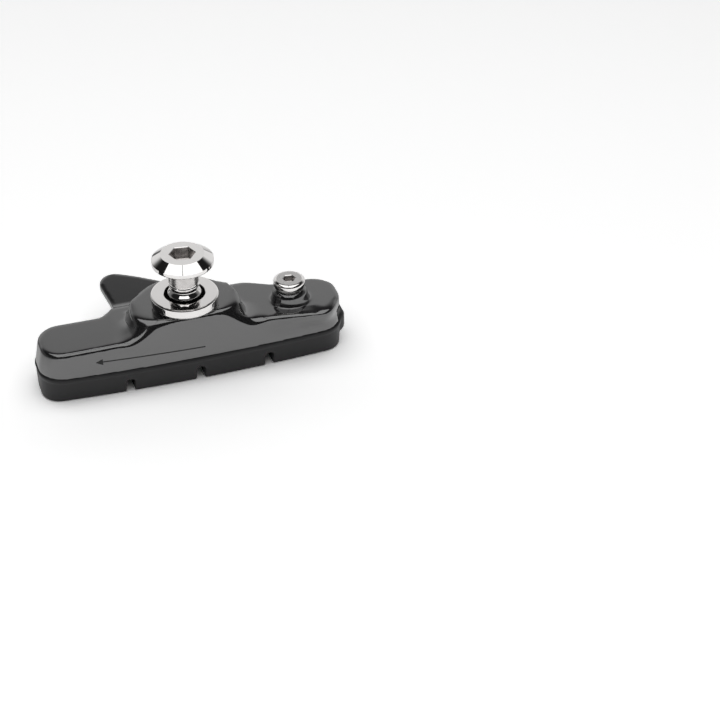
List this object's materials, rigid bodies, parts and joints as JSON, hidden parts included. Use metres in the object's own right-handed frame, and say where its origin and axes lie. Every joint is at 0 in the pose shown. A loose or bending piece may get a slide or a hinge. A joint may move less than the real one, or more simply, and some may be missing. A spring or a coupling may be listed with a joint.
{
  "type": "bicycle rim brake pad",
  "caption": "Cartridge brake shoe: a curved, grooved rubber pad slid into a cast holder with a wheel-guide fin, held on the caliper arm by a socket bolt and a thick ring washer.",
  "frame": {"origin": "where the fixing bolt's axis meets the friction face", "axes": "+Z away from the rim along the bolt, +X along the pad to the holder's open end, +Y to the fin on the hub side"},
  "size_m": [0.0562, 0.0252, 0.0238],
  "materials": {
    "holder_coat": "gloss anthracite coat on cast aluminium",
    "pad_rubber": "matt moulded rubber",
    "bolt_chrome": "polished",
    "washer_chrome": "polished",
    "screw_chrome": "polished"
  },
  "bodies": {
    "root": {"holder": "holder_coat", "pad_insert": "pad_rubber", "fixing_bolt": "bolt_chrome", "ring_washer": "washer_chrome", "pad_screw": "screw_chrome"}
  },
  "joints": []
}
